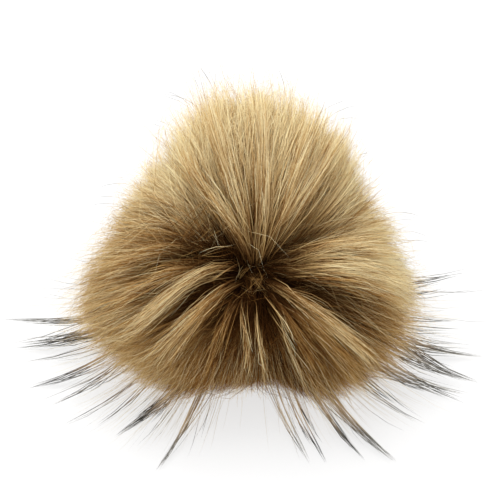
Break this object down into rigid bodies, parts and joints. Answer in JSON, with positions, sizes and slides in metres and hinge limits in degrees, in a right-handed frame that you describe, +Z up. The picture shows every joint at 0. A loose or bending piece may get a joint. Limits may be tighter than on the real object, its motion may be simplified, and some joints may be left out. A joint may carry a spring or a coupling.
{
  "type": "pom pom",
  "caption": "Long-haired fur pom pom: a ball of combed fur with a whorl in front, a raised tuft behind and long guard hairs that fan out on the table.",
  "frame": {"origin": "on the table, in the middle of the flat spot that the ball rests on, right under the ball's middle", "axes": "+Z up, -Y toward the whorl that the coat is combed away from, +X to the right seen from the whorl's side"},
  "size_m": [0.2039, 0.1896, 0.1105],
  "materials": {
    "fur": "long soft pile fur, dark brown at the roots, golden tan along the hair and pale cream at the tips, with black-tipped guard hairs"
  },
  "bodies": {
    "root": {"fur_ball": "fur"}
  },
  "joints": []
}
